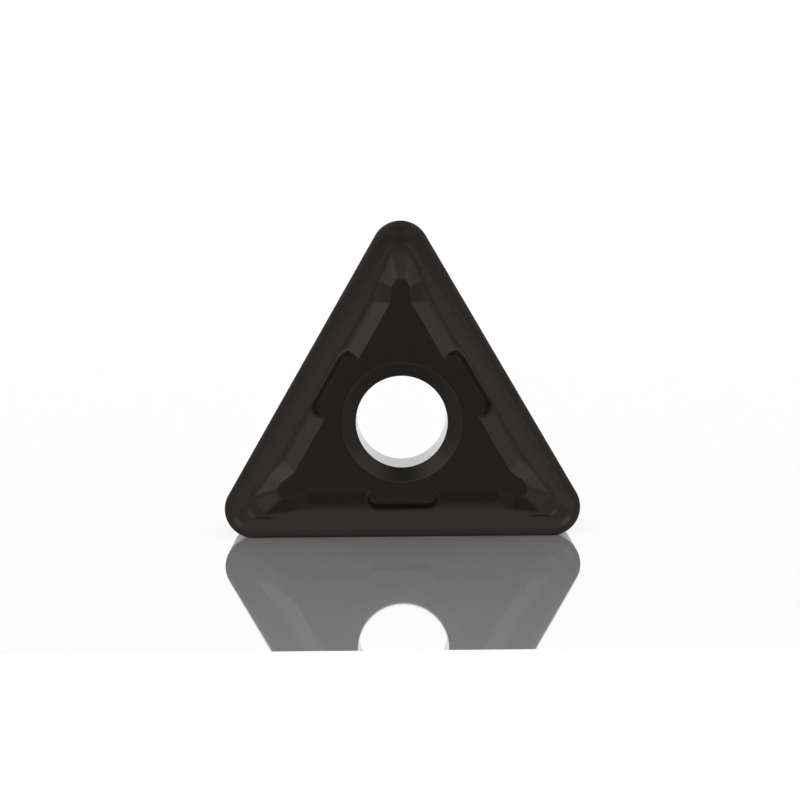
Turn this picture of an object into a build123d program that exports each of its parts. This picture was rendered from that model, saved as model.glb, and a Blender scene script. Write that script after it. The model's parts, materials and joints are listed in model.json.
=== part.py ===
from build123d import *
import os
from math import cos, radians, sin, tan

# Triangular turning insert of sintered carbide, pressed in one piece with the same chip
# breaker on both faces and six cutting corners. All sizes are in millimetres.
# The insert stands on one long flank: X runs along that flank, Y along the bore and Z up
# through the top corner. The origin is the centre of the bore at mid thickness.

# ---------------------------------------------------------------- driving sizes
# Blank
inscribed_circle = 9.525  # touches the three flanks
thickness = 4.76  # over the two seats
corner_radius = 1.2
bore_diameter = 3.81
mouth_diameter = 4.92  # where the bore opens out to a seat
mouth_depth = 0.40
edge_hone = 0.06  # rounding of the cutting edges
seat_edge_radius = 0.03  # rounding of the seat's outer edge

# Rim: a flat land, then the rake, which runs down and inwards into the groove
land_drop = 0.05  # of the cutting edge below the seat
land_width = 0.30
land_corner_radius = 0.83  # of the land's inner edge
rake_width = 0.87
rake_break_width = 0.35  # outer part of the rake, which is the steeper one
rake_break_drop = 0.105
rake_break_corner_radius = 0.42
groove_depth = 0.30  # below the seat
groove_corner_radius = 0.12
floor_width = 0.14  # bottom of the groove beside a long wall

# Island: the seat, which stands in the groove on sloping walls
wall_run = 0.60  # plan width of a long wall
pad_width = 2.72  # pad in the middle of each side
pad_stand_out = 0.52  # of the pad's top past the top of the long wall
pad_corner_radius = 0.36
pad_wall_run = 0.27
ease_height = 0.05  # over which the walls ease out into the floor
wall_ease = 0.10  # how far the foot of a long wall runs out by that
pad_ease = 0.06

# Finger of the island in each corner, placed back from the tip of that corner
finger_back = 2.39
finger_end_width = 0.36  # across the blunt end of the finger
finger_end_radius = 0.25
finger_side_angle = 30  # degrees, of each side of the finger from its middle line
neck_width = 0.76
neck_back = 3.40  # where the top of the long wall turns into the neck
foot_back = 1.42  # the end of the finger at the groove's floor
foot_end_width = 0.75
foot_end_radius = 0.25
foot_turn_back = 2.495  # where the foot of the finger turns into the neck
foot_turn_width = 1.82
neck_foot_back = 3.31  # where the foot of the long wall turns into the neck

# Round pocket that lets the chip curl in front of each finger
pocket_back = 1.63
pocket_floor_radius = 0.56
pocket_wall_angle = 17.5  # degrees, from the plane of the seat

# ---------------------------------------------------------------- sizes that follow
SIDES = 3
HALF_CORNER = radians(90 - 180 / SIDES)
flank_distance = inscribed_circle / 2
corner_tip = flank_distance / sin(HALF_CORNER) - corner_radius * (1 / sin(HALF_CORNER) - 1)
seat_level = thickness / 2
edge_level = seat_level - land_drop
floor_level = seat_level - groove_depth
rake_foot_inset = land_width + rake_width
wall_foot_inset = rake_foot_inset + floor_width
wall_top_inset = wall_foot_inset + wall_run
pad_top_inset = wall_top_inset - pad_stand_out

FRONT = Plane.XZ  # its x is X, its y is Z, and its normal points out of the front face


# ---------------------------------------------------------------- plan outlines
def round_the_corners(points):
    """The same points at every corner, from those at the top one."""
    turns = [Rotation(0, 0, turn * 360 / SIDES) for turn in range(SIDES)]
    return [(turn * Pos(*point)).position for turn in turns for point in points]


def on_line(inset, back):
    """Point on the line at this inset from the right flank, this far back from the tip."""
    height = corner_tip - back
    across = (flank_distance - inset - height * sin(HALF_CORNER)) / cos(HALF_CORNER)
    return (across, height)


def both_sides(points):
    """Points on the right of a corner, and their like on its left."""
    return points + [(-across, height) for across, height in reversed(points)]


def part_way(points, others, share):
    """Points at this share of the way from each point to its like."""
    return [
        (x + share * (other_x - x), y + share * (other_y - y))
        for (x, y), (other_x, other_y) in zip(points, others)
    ]


def outline(points, radii, level):
    """Closed face at this level over the mid plane, rounded at each point by its radius."""
    loop = FilletPolyline(*round_the_corners(points), radius=radii * SIDES, close=True)
    return FRONT * Pos(0, 0, level) * make_face(loop)


def triangle(inset, radius, level):
    """Rounded triangle at an even inset from the flanks."""
    peak = (flank_distance - inset) / sin(HALF_CORNER)
    return outline([(0, peak)], [radius], level)


# ---------------------------------------------------------------- front half
def make_blank():
    """Half of the pressed blank, up to the cutting edge, with the edge honed."""
    blank = extrude(triangle(0, corner_radius, 0), amount=edge_level)
    top = blank.faces().sort_by(Axis.Y)[0]
    return fillet(top.edges(), edge_hone)


def make_groove():
    """What the groove takes from the blank, land to floor, as if there were no island."""
    land_edge = triangle(land_width, land_corner_radius, edge_level)
    rake_break = triangle(
        land_width + rake_break_width, rake_break_corner_radius, edge_level - rake_break_drop
    )
    floor = triangle(rake_foot_inset, groove_corner_radius, floor_level)
    return loft([land_edge, rake_break, floor], ruled=True)


def make_pocket():
    """The round pocket in front of the finger of the top corner."""
    depth = edge_level - floor_level
    mouth_radius = pocket_floor_radius + depth / tan(radians(pocket_wall_angle))
    cone = Cone(pocket_floor_radius, mouth_radius, depth)
    return FRONT * Pos(0, corner_tip - pocket_back, floor_level + depth / 2) * cone


def island_foot(ease):
    """Right half of a corner of the island at the floor, its long wall eased out by this."""
    return [
        on_line(wall_foot_inset - ease, neck_foot_back),
        (foot_turn_width / 2, corner_tip - foot_turn_back),
        (foot_end_width / 2, corner_tip - foot_back),
    ]


def make_island():
    """Long walls, necks and fingers, from the groove's floor up to the seat."""
    end_height = corner_tip - finger_back
    side_length = (neck_width - finger_end_width) / 2 / tan(radians(finger_side_angle))
    seat_corner = [
        on_line(wall_top_inset, neck_back),
        (neck_width / 2, end_height - side_length),
        (finger_end_width / 2, end_height),
    ]
    eased_share = ease_height / groove_depth
    sections = []
    for corner, radius, level in (
        (island_foot(wall_ease), foot_end_radius, floor_level),
        (
            part_way(island_foot(0), seat_corner, eased_share),
            foot_end_radius + eased_share * (finger_end_radius - foot_end_radius),
            floor_level + ease_height,
        ),
        (seat_corner, finger_end_radius, seat_level),
    ):
        sections.append(outline(both_sides(corner), [0, 0, radius, radius, 0, 0], level))
    return loft(sections, ruled=True)


def make_pad():
    """The pad on the bottom side, with its steep walls, reaching in under the seat."""
    reach = flank_distance - pad_top_inset

    def pad_outline(grow, level):
        width = pad_width + 2 * grow
        height = reach + grow
        plan = Pos(0, -height / 2) * Rectangle(width, height)
        outer_corners = plan.vertices().group_by(Axis.Y)[0]
        plan = fillet(outer_corners, pad_corner_radius + grow)
        return FRONT * Pos(0, 0, level) * plan

    foot = pad_outline(pad_wall_run + pad_ease, floor_level)
    eased_run = pad_wall_run * (1 - ease_height / groove_depth)
    eased = pad_outline(eased_run, floor_level + ease_height)
    return loft([foot, eased, pad_outline(0, seat_level)], ruled=True)


def at_every_side(shape):
    """Copies of a shape turned about the bore, one to each side or corner."""
    return [Rotation(0, turn * 360 / SIDES, 0) * shape for turn in range(SIDES)]


def make_front_half():
    half = make_blank() - make_groove()
    for pocket in at_every_side(make_pocket()):
        half -= pocket
    half += make_island()
    for pad in at_every_side(make_pad()):
        half += pad
    seat_edges = half.edges().group_by(Axis.Y)[0]
    return fillet(seat_edges, seat_edge_radius)


# ---------------------------------------------------------------- whole insert
def make_bore():
    """The bore and its two countersunk mouths."""
    bore = FRONT * Cylinder(bore_diameter / 2, thickness)
    mouth = Cone(bore_diameter / 2, mouth_diameter / 2, mouth_depth)
    front_mouth = FRONT * Pos(0, 0, seat_level - mouth_depth / 2) * mouth
    return bore + front_mouth + mirror(front_mouth, about=FRONT)


def make_insert():
    front = make_front_half()
    whole = front + mirror(front, about=FRONT)
    return whole - make_bore()


os.makedirs("parts", exist_ok=True)
insert = make_insert()
export_step(insert, "parts/insert.step")
print("solids", len(insert.solids()), "volume", round(insert.volume, 3), "mm3")
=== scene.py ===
# %% [markdown]
# # A coated carbide turning insert
# The real part is pressed from tungsten carbide powder, sintered and given a black ceramic
# coating a few micrometres thick. It is one piece, so this lesson makes one mesh. The packed
# CAD model already stands at the right size and place; here it gets a finer skin, with every
# edge rounded as tumbling and coating leave it, and a finish for each kind of surface.

import json
from math import atan2, cos, pi, radians, sin, sqrt, tan

import bmesh
import bpy
from mathutils import Matrix, Vector


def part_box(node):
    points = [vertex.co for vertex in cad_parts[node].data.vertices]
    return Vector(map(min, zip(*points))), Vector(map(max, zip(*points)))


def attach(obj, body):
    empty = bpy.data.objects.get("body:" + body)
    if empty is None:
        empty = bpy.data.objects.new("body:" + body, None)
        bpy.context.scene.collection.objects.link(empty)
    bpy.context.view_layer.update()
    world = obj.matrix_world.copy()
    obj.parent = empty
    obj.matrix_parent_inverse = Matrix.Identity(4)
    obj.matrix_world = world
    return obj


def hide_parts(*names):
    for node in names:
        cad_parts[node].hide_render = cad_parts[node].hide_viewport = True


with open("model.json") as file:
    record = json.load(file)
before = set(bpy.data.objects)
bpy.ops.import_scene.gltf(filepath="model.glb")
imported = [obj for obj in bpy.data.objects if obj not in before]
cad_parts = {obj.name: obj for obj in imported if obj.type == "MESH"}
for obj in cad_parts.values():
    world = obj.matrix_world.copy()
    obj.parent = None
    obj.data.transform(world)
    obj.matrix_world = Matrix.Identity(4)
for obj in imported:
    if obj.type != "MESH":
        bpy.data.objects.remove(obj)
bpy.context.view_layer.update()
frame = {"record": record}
MM = 0.001

# %% [markdown]
# ## The sizes
# The overall sizes are read from the frame, so the skin can't drift from the solid. The
# form of the chip breaker is given in millimetres, as a toolmaker would dimension the
# punch that presses it: insets are measured from the flanks and depths from the seat.

# %% Read the blank's sizes from the frame
low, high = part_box("insert")
FLANK = -low.z  # from the bore's axis to each flank
TIP = high.z  # from the bore's axis to the tip of each corner
SEAT = high.y  # from mid thickness to each seat
CORNER_RADIUS = 2 * FLANK - TIP
BORE = next(mount for mount in frame["record"]["mounts"] if mount["name"] == "bore")
BORE_RADIUS = BORE["dims"]["r_mm"] * MM
MOUTH_RADIUS = 2.46 * MM  # where the bore opens out to a seat
MOUTH_DEPTH = SEAT - BORE["dims"]["length_mm"] * MM / 2
print(f"flank {FLANK / MM:.4f}, tip {TIP / MM:.4f}, corner radius {CORNER_RADIUS / MM:.4f} mm")

# %% Sizes of the rim and the groove
LAND_DROP = 0.05 * MM  # of the land below the seat
LAND_WIDTH = 0.30 * MM
RAKE_BREAK_WIDTH = 0.35 * MM  # outer part of the rake, which is the less steep one
RAKE_BREAK_DROP = 0.09 * MM
RAKE_WIDTH = 0.83 * MM  # both parts together
GROOVE_DEPTH = 0.30 * MM
FLOOR_WIDTH = 0.18 * MM  # bottom of the groove beside a long wall
RAKE_FOOT_INSET = LAND_WIDTH + RAKE_WIDTH
print(f"the rake ends {RAKE_FOOT_INSET / MM:.2f} mm in from the flank")

# %% [markdown]
# ## One sixth of one face
# The face repeats: three sides, each with a left and a right half. So only the stretch from
# the middle of a side to the middle of a corner is shaped, and mirror and spin make the
# rest. A point of it is given as *along* the side and *out* from the bore's axis.
#
# Such a face could be cut with booleans and its edges bevelled afterwards, but a bevel fails
# where many short edges meet. Here one grid is laid over the sixth instead. Its lines follow
# the edges of the island, so each edge stays sharp in plan and evenly rounded in section.

# %% Points and lines of the sixth
HALF_CORNER = radians(30)
AXIS = Vector((cos(HALF_CORNER), sin(HALF_CORNER)))  # from the bore towards the corner
ACROSS = Vector((-sin(HALF_CORNER), cos(HALF_CORNER)))


def on_side_line(out, back):
    """Point on the line at this distance out, this far back from the corner's tip."""
    reach = TIP - back
    across = (out - reach * sin(HALF_CORNER)) / cos(HALF_CORNER)
    return reach * AXIS + across * ACROSS


def spread(start, end, steps):
    """Evenly spaced points from start up to, but without, end."""
    return [start.lerp(end, step / steps) for step in range(steps)]


def arc(centre, radius, start, end, steps):
    """Points of an arc between two angles, without the last one."""
    angles = [start + (end - start) * step / steps for step in range(steps)]
    return [centre + radius * Vector((cos(angle), sin(angle))) for angle in angles]


def rounded(before, corner, after, radius, steps):
    """Points of the arc that rounds a corner, with both its ends."""
    to_before = (before - corner).normalized()
    to_after = (after - corner).normalized()
    half = to_before.angle(to_after) / 2
    start = corner + radius / tan(half) * to_before
    end = corner + radius / tan(half) * to_after
    centre = corner + radius / sin(half) * (to_before + to_after).normalized()
    chords = [start.lerp(end, step / steps) - centre for step in range(steps + 1)]
    return [centre + radius * chord.normalized() for chord in chords]


print("the corner's middle line runs along", [round(part, 3) for part in AXIS])

# %% [markdown]
# ## The island's outline
# The island is the seat with its pads and fingers, standing in the groove on sloping walls.
# Its outline is drawn at any depth: each point moves straight from its place at the seat to
# its place at the groove's floor. Depths a little above and below these continue the same
# lines, which gives the grid room for the rounded edges. A loft between the two outlines
# would make the same walls, but with sharp edges at the top and the foot.

# %% Sizes of the island
WALL_RUN = 0.60 * MM  # plan width of a long wall
PAD_WIDTH = 2.72 * MM
PAD_STAND_OUT = 0.52 * MM  # of the pad's top past the top of the long wall
PAD_CORNER_RADIUS = 0.36 * MM
PAD_WALL_RUN = 0.27 * MM

# Places back from the tip of the corner, and widths across its middle line
FINGER_BACK = 2.39 * MM
FINGER_END_WIDTH = 0.36 * MM  # across its blunt end
FINGER_END_RADIUS = 0.25 * MM
FINGER_SIDE_SLOPE = tan(radians(30))  # of its sides, away from its middle line
NECK_WIDTH = 0.76 * MM
NECK_BACK = 3.40 * MM  # where the top of the long wall turns into the neck
NECK_ROUNDING = 0.26 * MM
SHOULDER_ROUNDING = 0.10 * MM
FOOT_BACK = 1.27 * MM  # the end of the finger at the groove's floor
FOOT_END_WIDTH = 0.88 * MM
FOOT_TURN_BACK = 2.455 * MM  # where the foot of the finger turns into the neck
FOOT_TURN_WIDTH = 1.90 * MM
NECK_FOOT_BACK = 3.31 * MM

WALL_FOOT = FLANK - RAKE_FOOT_INSET - FLOOR_WIDTH  # from the bore's axis
WALL_TOP = WALL_FOOT - WALL_RUN
PAD_TOP = WALL_TOP + PAD_STAND_OUT
print(f"a long wall runs from {WALL_TOP / MM:.2f} to {WALL_FOOT / MM:.2f} mm off the bore's axis")

# %% Round the pad's corner and the finger's end
STEPS = {  # of the grid, along each stretch of the outline
    "pad": 9, "pad_corner": 14, "wall": 18, "bend": 4, "neck": 8, "finger": 20, "tip": 9,
    "cap": 5,
}


def pad_corner_points(centre, radius, wall_out):
    """The corner of a pad, down to the long wall, and the point where they meet."""
    rise = max(0, min(1, (wall_out - centre.y) / radius))
    end_angle = atan2(rise, sqrt(1 - rise * rise))
    arc_length = radius * (pi / 2 - end_angle)
    side_length = max(0, centre.y - wall_out)
    points = []
    for step in range(STEPS["pad_corner"] + 1):
        run = (arc_length + side_length) * step / STEPS["pad_corner"]
        angle = pi / 2 - min(run, arc_length) / radius
        point = centre + radius * Vector((cos(angle), sin(angle)))
        points.append(point - Vector((0, max(0, run - arc_length))))
    return points


def finger_end(turn, corner):
    """The last points of an outline: the finger's rounded corner and its flat end."""
    end = corner.dot(AXIS) * AXIS
    bend = rounded(turn, corner, end, FINGER_END_RADIUS, STEPS["tip"])
    return bend[:-1] + spread(bend[-1], end, STEPS["cap"]) + [end]


print("points round the corner of a pad:", STEPS["pad_corner"] + 1)

# %% Draw the island's outline at one depth
def island_outline(depth):
    """Points from the middle of a side to the middle of a corner, at this depth."""
    share = depth / GROOVE_DEPTH
    wall_out = WALL_TOP + WALL_RUN * share
    pad_grow = PAD_WALL_RUN * share
    pad_centre = Vector((PAD_WIDTH / 2 - PAD_CORNER_RADIUS, PAD_TOP - PAD_CORNER_RADIUS))
    pad_corner = pad_corner_points(pad_centre, PAD_CORNER_RADIUS + pad_grow, wall_out)

    root = on_side_line(WALL_TOP, NECK_BACK).lerp(on_side_line(WALL_FOOT, NECK_FOOT_BACK), share)
    seat_corner = (TIP - FINGER_BACK) * AXIS + FINGER_END_WIDTH / 2 * ACROSS
    widening = (NECK_WIDTH - FINGER_END_WIDTH) / 2
    shoulder = seat_corner + widening * (ACROSS - AXIS / FINGER_SIDE_SLOPE)
    seat_end = finger_end(shoulder, seat_corner)
    foot_turn = (TIP - FOOT_TURN_BACK) * AXIS + FOOT_TURN_WIDTH / 2 * ACROSS
    foot_corner = (TIP - FOOT_BACK) * AXIS + FOOT_END_WIDTH / 2 * ACROSS
    foot_end = finger_end(foot_turn, foot_corner)
    end = [top.lerp(bottom, share) for top, bottom in zip(seat_end, foot_end)]
    turn = shoulder.lerp(foot_turn, share)
    neck_bend = rounded(pad_corner[-1], root, turn, NECK_ROUNDING, STEPS["bend"])
    shoulder_bend = rounded(root, turn, end[0], SHOULDER_ROUNDING, STEPS["bend"])

    points = spread(Vector((0, PAD_TOP + pad_grow)), pad_corner[0], STEPS["pad"])
    points += pad_corner[:-1]
    points += spread(pad_corner[-1], neck_bend[0], STEPS["wall"]) + neck_bend[:-1]
    points += spread(neck_bend[-1], shoulder_bend[0], STEPS["neck"]) + shoulder_bend[:-1]
    return points + spread(shoulder_bend[-1], end[0], STEPS["finger"]) + end


COLUMNS = len(island_outline(0))
print("lines across the sixth:", COLUMNS)

# %% [markdown]
# ## The rim and the groove
# Around the island the face drops in loops that follow the flank: a narrow land behind the
# cutting edge, then the rake, which runs down into the groove. Its outer part is the less
# steep one, which keeps the edge strong. A loop is named by its inset. In each corner lies
# a pocket whose narrow steep wall follows the corner, to take the first curl of the chip.

# %% Loops at an even inset from the flanks
TIP_STEPS = STEPS["tip"] + STEPS["cap"]
TIP_COLUMN = COLUMNS - 1 - TIP_STEPS
SHOULDER_COLUMN = TIP_COLUMN - STEPS["finger"]
NECK_COLUMN = SHOULDER_COLUMN - STEPS["neck"] - STEPS["bend"]
LAND_CORNER_RADIUS = 0.84 * MM
BREAK_CORNER_RADIUS = 0.34 * MM
FOOT_CORNER_RADIUS = 0.60 * MM
LOOP_INSETS = [0, LAND_WIDTH, LAND_WIDTH + RAKE_BREAK_WIDTH, RAKE_FOOT_INSET, FLANK]
LOOP_RADII = [CORNER_RADIUS, LAND_CORNER_RADIUS, BREAK_CORNER_RADIUS]
LOOP_RADII += [FOOT_CORNER_RADIUS, FOOT_CORNER_RADIUS]
DEEPEST_INSET = 3 * MM  # past every point of the groove
HALVINGS = 24
RAKE_DEPTHS = [LAND_DROP, LAND_DROP, LAND_DROP + RAKE_BREAK_DROP, GROOVE_DEPTH, GROOVE_DEPTH]


def along_table(inset, values):
    """Value at an inset, from a table with one value for each of the loops."""
    for index in range(len(LOOP_INSETS) - 1):
        start, end = LOOP_INSETS[index:index + 2]
        if inset <= end:
            share = (inset - start) / (end - start)
            return values[index] + (values[index + 1] - values[index]) * share
    return values[-1]


def loop_centre(inset):
    """Centre of the loop's corner arc."""
    return (FLANK - inset - along_table(inset, LOOP_RADII)) / sin(HALF_CORNER) * AXIS


def inset_of(point):
    """Inset of the loop that passes through a point, found by halving a range."""
    nearer, further = 0, DEEPEST_INSET
    for _ in range(HALVINGS):
        inset = (nearer + further) / 2
        offset, radius = point - loop_centre(inset), along_table(inset, LOOP_RADII)
        inside = offset.length < radius if offset.x > 0 else offset.y < radius
        nearer, further = (inset, further) if inside else (nearer, inset)
    return (nearer + further) / 2


def rim_loop(inset, foot):
    """Points of a loop, each opposite a point of the island's foot."""
    centre, radius = loop_centre(inset), along_table(inset, LOOP_RADII)
    bend, foot_bend = foot[SHOULDER_COLUMN], foot[TIP_COLUMN]
    stretch = (centre.x - bend.x) / (foot_bend.x - bend.x)
    points = [Vector((point.x, FLANK - inset)) for point in foot[:SHOULDER_COLUMN]]
    for point in foot[SHOULDER_COLUMN:TIP_COLUMN]:
        points.append(Vector((bend.x + (point.x - bend.x) * stretch, FLANK - inset)))
    points += arc(centre, radius, pi / 2, HALF_CORNER, TIP_STEPS)
    return points + [centre + radius * AXIS]


print("insets of the loops in mm:", [round(inset / MM, 3) for inset in LOOP_INSETS])

# %% Depth of the groove
BREAK_ROUNDING = 0.012 * MM  # step between the five insets whose depths are averaged
NO_ISLAND = 1  # metre: deeper than anything here, so that the groove alone counts


def deeper(first, second, rounding):
    """The greater of two depths, rounded where they meet."""
    overlap = max(0, rounding - abs(first - second))
    return max(first, second) + overlap * overlap / (4 * rounding)


def shallower(first, second, rounding):
    """The lesser of two depths, rounded where they meet."""
    return -deeper(-first, -second, rounding)


def rake_depth(point):
    """Depth of the land and the rake, down to the groove's floor."""
    inset = inset_of(point)
    insets = [inset + shift * BREAK_ROUNDING for shift in (-2, -1, 0, 1, 2)]
    return sum(along_table(near, RAKE_DEPTHS) for near in insets) / len(insets)


print(f"the land lies {rake_depth(TIP * AXIS) / MM:.3f} mm below the seat")

# %% Depth of the pocket
POCKET_INSET = 0.89 * MM  # of the foot of its wall
POCKET_DEPTH = 0.26 * MM
POCKET_CORNER_RADIUS = 0.41 * MM
POCKET_WALL_SLOPE = tan(radians(35))
POCKET_BACK = 1.75 * MM  # where its floor begins to run out beside the finger
POCKET_END_SLOPE = tan(radians(10))
POCKET_ROUNDING = 0.02 * MM
POCKET_CENTRE = (FLANK - POCKET_INSET - POCKET_CORNER_RADIUS) / sin(HALF_CORNER) * AXIS
POCKET_END = on_side_line(FLANK - POCKET_INSET, POCKET_BACK).x


def pocket_depth(point):
    """Depth of the pocket, with its wall round the corner and its end beside the finger."""
    offset = point - POCKET_CENTRE
    outside = (offset.length if offset.x > 0 else offset.y) - POCKET_CORNER_RADIUS
    wall = POCKET_DEPTH - outside * POCKET_WALL_SLOPE
    end = POCKET_DEPTH - (POCKET_END - point.x) * POCKET_END_SLOPE
    return shallower(shallower(wall, end, POCKET_ROUNDING), POCKET_DEPTH, POCKET_ROUNDING)


print(f"depth in the middle of the pocket: {pocket_depth(POCKET_CENTRE) / MM:.3f} mm")

# %% Depth of the whole face
WALL_EASE = 0.12 * MM  # rounding at the foot of the pads and long walls
FINGER_EASE = 0.03 * MM  # rounding at the foot of the fingers
POCKET_EDGE = 0.012 * MM  # rounding of the pocket's rim
SEAT_EDGE = 0.016 * MM  # rounding of the seat's outer edge


def foot_rounding(column):
    """Rounding at the island's foot, which narrows along the neck."""
    share = max(0, min(1, (column - NECK_COLUMN) / (SHOULDER_COLUMN - NECK_COLUMN)))
    return WALL_EASE + (FINGER_EASE - WALL_EASE) * share


def face_depth(point, island_depth, column):
    """Depth of the face below the seat."""
    groove = deeper(rake_depth(point), pocket_depth(point), POCKET_EDGE)
    return shallower(deeper(island_depth, 0, SEAT_EDGE), groove, foot_rounding(column))


floor_point = Vector((PAD_WIDTH / 2 + PAD_CORNER_RADIUS, WALL_FOOT + FLOOR_WIDTH / 2))
print(f"depth of the groove's floor: {face_depth(floor_point, NO_ISLAND, 0) / MM:.3f} mm")

# %% [markdown]
# ## The rows of the grid
# Each row of the grid is a line of points from the middle of the side to the middle of the
# corner, with a depth for each. The rows start in the bore at mid thickness, climb through
# the countersunk mouth, cross the seat, go down the island's walls, up the rake, over the
# honed cutting edge, and end on the flank, again at mid thickness.

# %% Depths of the rows on the island
WALL_START = -0.005  # mm; here the ground seat ends and the wall begins to turn down
ISLAND_DEPTHS = [-0.035, -0.02, -0.012, WALL_START, 0.002, 0.009, 0.017]  # mm, its upper edge
ISLAND_DEPTHS += [0.03, 0.06, 0.1, 0.14, 0.18, 0.22, 0.25]  # its wall
ISLAND_DEPTHS += [0.27, 0.285, 0.3, 0.315, 0.33, 0.35, 0.38]  # its foot, rounded into the floor
foot = island_outline(ISLAND_DEPTHS[-1] * MM)
seat_edge = island_outline(ISLAND_DEPTHS[0] * MM)
bearings = [point.normalized() for point in seat_edge]
print("rows on the island:", len(ISLAND_DEPTHS))

# %% Rows of the bore, its mouth and the seat
MOUTH_SLOPE = MOUTH_DEPTH / (MOUTH_RADIUS - BORE_RADIUS)
MOUTH_EDGE = 0.014 * MM  # rounding where the mouth meets the seat
MOUTH_RADII = [BORE_RADIUS + 0.02 * MM, BORE_RADIUS + 0.25 * MM]
MOUTH_RADII += [
    MOUTH_RADIUS + step * MM for step in (-0.04, -0.016, -0.008, 0, 0.008, 0.016, 0.04)]


def mouth_depth(radius):
    """Depth of the bore's mouth at this radius, rounded where it opens out to the seat."""
    return deeper((MOUTH_RADIUS - radius) * MOUTH_SLOPE, 0, MOUTH_EDGE)


rows = [([BORE_RADIUS * bearing for bearing in bearings], [depth] * COLUMNS)
        for depth in (SEAT, (SEAT + MOUTH_DEPTH) / 2, MOUTH_DEPTH + 0.03 * MM, MOUTH_DEPTH)]
MOUTH_ROW = len(rows) - 1
for radius in MOUTH_RADII:
    rows.append(([radius * bearing for bearing in bearings], [mouth_depth(radius)] * COLUMNS))
mouth_edge = rows[-1][0]
SEAT_ROW = len(rows) - 1
for share in (0.25, 0.5, 0.75):
    line = [start.lerp(end, share) for start, end in zip(mouth_edge, seat_edge)]
    rows.append((line, [0] * COLUMNS))
print("rows up to the seat's edge:", len(rows))

# %% Rows of the island's walls, the rake, the land, the hone and the flank
RAKE_ROWS = 16
RIM_INSETS = [0.42, 0.38, 0.35, 0.33, 0.31, 0.29, 0.27]  # mm, on both sides of the land's edge
HONE_WIDTH = 0.24 * MM  # across the land, which it leaves slightly crowned
HONE_HEIGHT = 0.06 * MM  # down the flank
HONE_STEPS = 8
WALL_ROW = len(rows) + ISLAND_DEPTHS.index(WALL_START)


def add_row(line, island_depth):
    """Add a row at the depth of the face."""
    rows.append((line, [face_depth(point, island_depth, i) for i, point in enumerate(line)]))


for depth in ISLAND_DEPTHS:
    add_row(island_outline(depth * MM), depth * MM)
rim = rim_loop(RIM_INSETS[0] * MM, foot)
for step in range(1, RAKE_ROWS):
    add_row([start.lerp(end, step / RAKE_ROWS) for start, end in zip(foot, rim)], NO_ISLAND)
for inset in RIM_INSETS:
    add_row(rim_loop(inset * MM, foot), NO_ISLAND)
for step in range(HONE_STEPS + 1):
    angle = radians(90) * step / HONE_STEPS
    line = rim_loop(HONE_WIDTH * (1 - sin(angle)), foot)
    rows.append((line, [LAND_DROP + HONE_HEIGHT * (1 - cos(angle))] * COLUMNS))
rows.append((rim_loop(0, foot), [SEAT / 2] * COLUMNS))
rows.append((rim_loop(0, foot), [SEAT] * COLUMNS))
print("rows in all:", len(rows))

# %% [markdown]
# ## From the grid to the insert
# A bmesh grid has its vertices row by row, so each one can be moved straight to its place.
# Mirror then gives the whole side and the other face, and spin the other two sides. The
# halves meet exactly, so their doubled vertices merge into one closed skin.

# %% Lay the grid over the sixth
FINISH_STARTS = [0, MOUTH_ROW, SEAT_ROW, WALL_ROW]  # rows at which each finish begins
bm = bmesh.new()
bmesh.ops.create_grid(bm, x_segments=COLUMNS - 1, y_segments=len(rows) - 1, size=1)
bm.verts.ensure_lookup_table()
bm.faces.ensure_lookup_table()
places = [(point, depth) for line, depths in rows for point, depth in zip(line, depths)]
for vert, (point, depth) in zip(bm.verts, places):
    vert.co = (point.x, depth - SEAT, -point.y)
for index, face in enumerate(bm.faces):
    face.smooth = True
    row = index // (COLUMNS - 1)
    face.material_index = sum(row >= start for start in FINISH_STARTS) - 1
print("faces in a sixth:", len(bm.faces))

# %% Mirror and spin the sixth into the whole insert
WELD = 0.0002 * MM  # far less than the shortest edge
for axis in "XY":
    bmesh.ops.mirror(
        bm, geom=bm.verts[:] + bm.edges[:] + bm.faces[:], axis=axis, merge_dist=WELD / 2)
bmesh.ops.spin(
    bm, geom=bm.verts[:] + bm.edges[:] + bm.faces[:], cent=(0, 0, 0), axis=(0, 1, 0),
    dvec=(0, 0, 0), angle=radians(240), steps=2, use_merge=False, use_duplicate=True)
bmesh.ops.remove_doubles(bm, verts=bm.verts, dist=WELD)
bmesh.ops.recalc_face_normals(bm, faces=bm.faces)
open_edges = sum(not edge.is_manifold for edge in bm.edges)
print("faces:", len(bm.faces), "open edges:", open_edges, "volume mm3:", bm.calc_volume() / MM**3)

# %% Make it an object that rides on the frame
mesh = bpy.data.meshes.new("carbide_insert")
bm.to_mesh(mesh)
bm.free()
insert = bpy.data.objects.new("carbide_insert", mesh)
bpy.context.collection.objects.link(insert)
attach(insert, "root")
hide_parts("insert")
print("object:", insert.name, "with", len(mesh.vertices), "vertices")

# %% [markdown]
# ## The finishes
# A dark ceramic coating covers the whole insert, and how it looks depends on what lies under
# it. On the as-sintered surfaces it follows the grain of the pressed powder, so it is satin,
# with a fine speckle. The seats were ground flat before coating, so there it is darker and
# smoother. The bore is smooth too, and seen at a low angle it shines. Its mouth is dull.
#
# One material could blend these by position, but then their borders would need masks. Here
# the grid's rows already part the surfaces, so each one gets its own material on its faces.

# %% Helpers for colours and nodes
def linear(code):
    """Linear colour from an sRGB hex code."""
    channels = [int(code[i:i + 2], 16) / 255 for i in (1, 3, 5)]
    return [c / 12.92 if c <= 0.04045 else ((c + 0.055) / 1.055) ** 2.4 for c in channels] + [1]


def add(material, kind, settings=None, links=None):
    """Add a node, set its sockets or properties and link others' outputs to its inputs."""
    node = material.node_tree.nodes.new("ShaderNode" + kind)
    for name, value in (settings or {}).items():
        if isinstance(name, int) or name in node.inputs:
            node.inputs[name].default_value = value
        else:
            setattr(node, name, value)
    for name, output in (links or {}).items():
        material.node_tree.links.new(output, node.inputs[name])
    return node


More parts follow.
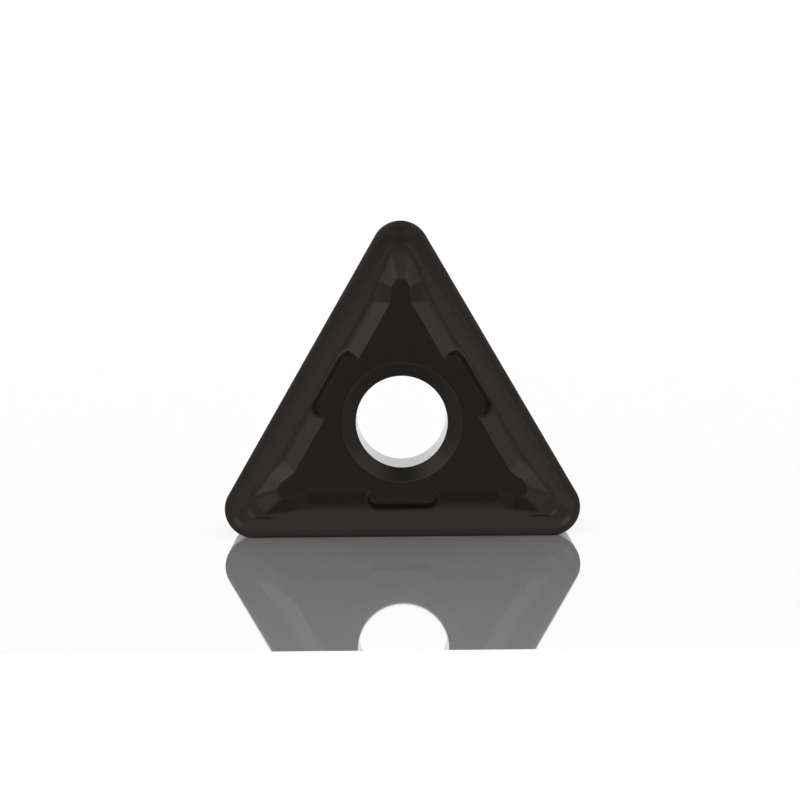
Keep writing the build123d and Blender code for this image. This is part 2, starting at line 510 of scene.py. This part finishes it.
def new_material(name):
    """A material with an empty node tree."""
    material = bpy.data.materials.new(name)
    material.use_nodes = True
    material.node_tree.nodes.clear()
    return material


def finish_with(material, surface):
    """Link a shader to the material's output."""
    add(material, "OutputMaterial", links={"Surface": surface})


print("the coating's black as linear values:", [round(part, 4) for part in linear("#0C0B0A")])

# %% Coating, with a finish for each kind of surface
WARM = (1.0, 0.88, 0.84, 1)  # tint of what the coating reflects


def coating(name, colour, roughness, level):
    """The dark coating, with its base colour, roughness and strength of reflection."""
    material = new_material(name)
    shader = add(material, "BsdfPrincipled", {
        "Base Color": linear(colour), "Roughness": roughness, "IOR": 1.5,
        "Specular IOR Level": level, "Specular Tint": WARM})
    finish_with(material, shader.outputs["BSDF"])
    return material, shader


# Smooth and glossy, so that a bright crescent shows deep in the bore
bore, _ = coating("coating_in_bore", "#0C0B0A", 0.10, 0.30)
# A little paler and duller, so that the mouth is an even dark grey ring
mouth, _ = coating("coating_in_mouth", "#12110F", 0.30, 0.15)
# Ground flat, so that the seat reflects evenly, in one dark tone
ground, _ = coating("coating_on_ground_seat", "#0B0A09", 0.25, 0.112)
# As sintered, so that each slope of the chip breaker has its own satin grey
sintered, sintered_shader = coating("coating_on_sintered_carbide", "#0C0B0A", 0.30, 0.177)
for material in (bore, mouth, ground, sintered):
    mesh.materials.append(material)
print("materials:", [material.name for material in mesh.materials])

# %% Grain of the pressed powder, under the coating of the sintered surfaces
GRAIN = 0.06 * MM  # between speckles; the real grain is finer, and wouldn't show
GRAIN_HEIGHT = 0.004 * MM
place = add(sintered, "TexCoord").outputs["Object"]
grain = add(sintered, "TexNoise", {
    "Scale": 1 / GRAIN, "Detail": 2.0, "Roughness": 0.6}, {"Vector": place})
bump = add(sintered, "Bump", {
    "Strength": 0.25, "Distance": GRAIN_HEIGHT}, {"Height": grain.outputs["Fac"]})
sintered.node_tree.links.new(bump.outputs["Normal"], sintered_shader.inputs["Normal"])
print(f"grain: {GRAIN / MM:.3f} mm apart, {GRAIN_HEIGHT / MM:.3f} mm high")

# %% [markdown]
# ## The studio
# A black part shows its form only by what it reflects. The insert stands on a sheet of
# polished white acrylic, which mirrors it. The sheet ends a little way in front of it, on
# white paper, and a white backdrop stands far behind.
#
# The white could come from strong lamps, but they would also make the part pale. So paper,
# sheet and backdrop glow only for the camera and in reflections, and the lamps stay plain.

# %% White paper
def with_glow(material, surface, share):
    """A surface that is white, by this share, to the camera and in reflections."""
    path = add(material, "LightPath")
    seen = path.outputs["Is Camera Ray"]
    for ray in ("Is Glossy Ray", "Is Transmission Ray"):
        seen = add(material, "Math", {"operation": "MAXIMUM"}, {
            0: seen, 1: path.outputs[ray]}).outputs["Value"]
    glowing = add(material, "Math", {"operation": "MULTIPLY", 1: share}, {0: seen})
    glow = add(material, "Emission", {"Color": (1, 1, 1, 1), "Strength": 1.0})
    mix = add(material, "MixShader", links={
        0: glowing.outputs["Value"], 1: surface.outputs["BSDF"], 2: glow.outputs["Emission"]})
    return mix.outputs["Shader"]


white = new_material("white_paper")
paper = add(white, "BsdfDiffuse", {"Color": (0.8, 0.8, 0.8, 1)})
finish_with(white, with_glow(white, paper, 1))
print("material:", white.name)

# %% Polished acrylic: the flatter the line of sight, the more it mirrors
acrylic = new_material("polished_white_acrylic")
facing = add(acrylic, "LayerWeight", {"Blend": 0.5})
polish = add(acrylic, "Math", {"operation": "POWER", 1: 1.18}, {0: facing.outputs["Facing"]})
matt = add(acrylic, "BsdfDiffuse", {"Color": (0.7, 0.7, 0.7, 1)})
mirror = add(acrylic, "BsdfAnisotropic", {"Roughness": 0.03, "Color": (1, 1, 1, 1)})
top = add(acrylic, "MixShader", links={
    0: polish.outputs["Value"], 1: with_glow(acrylic, matt, 0.10), 2: mirror.outputs["BSDF"]})
finish_with(acrylic, top.outputs["Shader"])
print("material:", acrylic.name)

# %% Floor and backdrop
SHEET_FRONT = -29.8 * MM  # the sheet's front edge, where the mirror image ends
SHEET_HEIGHT = 0.05 * MM  # of the sheet over the paper
BACKDROP = 1.2  # metres behind the part


def plane(name, matrix, material, size=(4.0, 4.0)):
    """A flat sheet of this size in metres, placed by a matrix."""
    sheet = bmesh.new()
    scale = Matrix.Diagonal((size[0], size[1], 1, 1))
    bmesh.ops.create_grid(sheet, x_segments=1, y_segments=1, size=0.5, matrix=matrix @ scale)
    data = bpy.data.meshes.new(name)
    sheet.to_mesh(data)
    sheet.free()
    data.materials.append(material)
    thing = bpy.data.objects.new(name, data)
    bpy.context.collection.objects.link(thing)


sheet_centre = Matrix.Translation((0, (BACKDROP + SHEET_FRONT) / 2, low.z))
plane("acrylic_sheet", sheet_centre, acrylic, (4.0, BACKDROP - SHEET_FRONT))
plane("paper", Matrix.Translation((0, 0, low.z - SHEET_HEIGHT)), white)
upright = Matrix.Rotation(radians(90), 4, "X")
plane("backdrop", Matrix.Translation((0, BACKDROP, 0)) @ upright, white)
print(f"the sheet ends {(low.y - SHEET_FRONT) / MM:.1f} mm in front of the part")

# %% [markdown]
# ## The light
# Two large soft lamps stand above, to the left and right of the camera, and leave a darker
# strip straight overhead, so each slope of the chip breaker gets its own tone. Weaker strips
# at the sides light the steep walls, and two wide fills from the camera's side light the
# seat. Area lamps would do too, but a sun needs no place that fits the part's size, and the
# width of its disc makes it as soft as a large lamp.

# %% Lamps
def sun(name, azimuth, elevation, strength, width):
    """A wide soft lamp, far away. Azimuth is from straight ahead (+Y) towards +X."""
    data = bpy.data.lights.new(name, "SUN")
    data.energy = strength
    data.angle = radians(width)
    lamp = bpy.data.objects.new(name, data)
    a, e = radians(azimuth), radians(elevation)
    toward = Vector((sin(a) * cos(e), cos(a) * cos(e), sin(e)))
    lamp.rotation_euler = toward.to_track_quat("Z", "Y").to_euler()
    bpy.context.collection.objects.link(lamp)


sun("left_softbox", -143, 37, 1.30, 44)
sun("right_softbox", 143, 37, 1.02, 44)
sun("front_fill", 180, 2, 1.50, 70)
sun("wide_fill", 180, -5, 0.35, 110)
sun("left_strip", -128, 14, 0.48, 44)
sun("right_strip", 128, 14, 0.48, 44)

# %% The room: pale at the sides and behind the part, and dim in front of it
room = bpy.data.worlds.new("room")
room.use_nodes = True
direction = add(room, "TexCoord").outputs["Generated"]
towards = add(room, "SeparateXYZ", links={"Vector": direction}).outputs["Y"]
DIM, PALE = 0.03, 0.85
brightness = add(room, "MapRange", {
    "interpolation_type": "SMOOTHSTEP", "From Min": -0.42, "From Max": -0.10,
    "To Min": DIM, "To Max": PALE}, {"Value": towards})
background = room.node_tree.nodes["Background"]
background.inputs["Color"].default_value = (1, 1, 1, 1)
room.node_tree.links.new(brightness.outputs["Result"], background.inputs["Strength"])
bpy.context.scene.world = room
print(f"room: {PALE} behind the part and {DIM} in front of it")

# %% [markdown]
# ## The camera
# A long lens, close to the part and a little above its middle, sees the front face almost
# straight on. It could be aimed by hand; here its direction is given as angles about the
# point that it looks at, on the front face, so that it is easy to turn round the part.

# %% Place the camera
AIM = Vector((-0.067, -2.38, 0.932)) * MM
DISTANCE = 105.4 * MM
camera_data = bpy.data.cameras.new("camera")
camera_data.sensor_width = 36
camera_data.lens = 112.2
camera_data.clip_start = 0.005
camera_data.clip_end = 20
camera = bpy.data.objects.new("camera", camera_data)
azimuth, elevation, roll = radians(-0.228), radians(4.50), radians(0.474)
camera.location = DISTANCE * Vector((
    sin(azimuth) * cos(elevation), -cos(azimuth) * cos(elevation), sin(elevation)))
turn = (AIM - camera.location).to_track_quat("-Z", "Y").to_matrix()
camera.rotation_euler = (turn @ Matrix.Rotation(-roll, 3, "Z")).to_euler()
bpy.context.collection.objects.link(camera)
bpy.context.scene.camera = camera
bpy.context.scene.view_settings.view_transform = "Standard"
print(f"camera: {DISTANCE / MM:.1f} mm away, {camera_data.lens:.1f} mm lens")
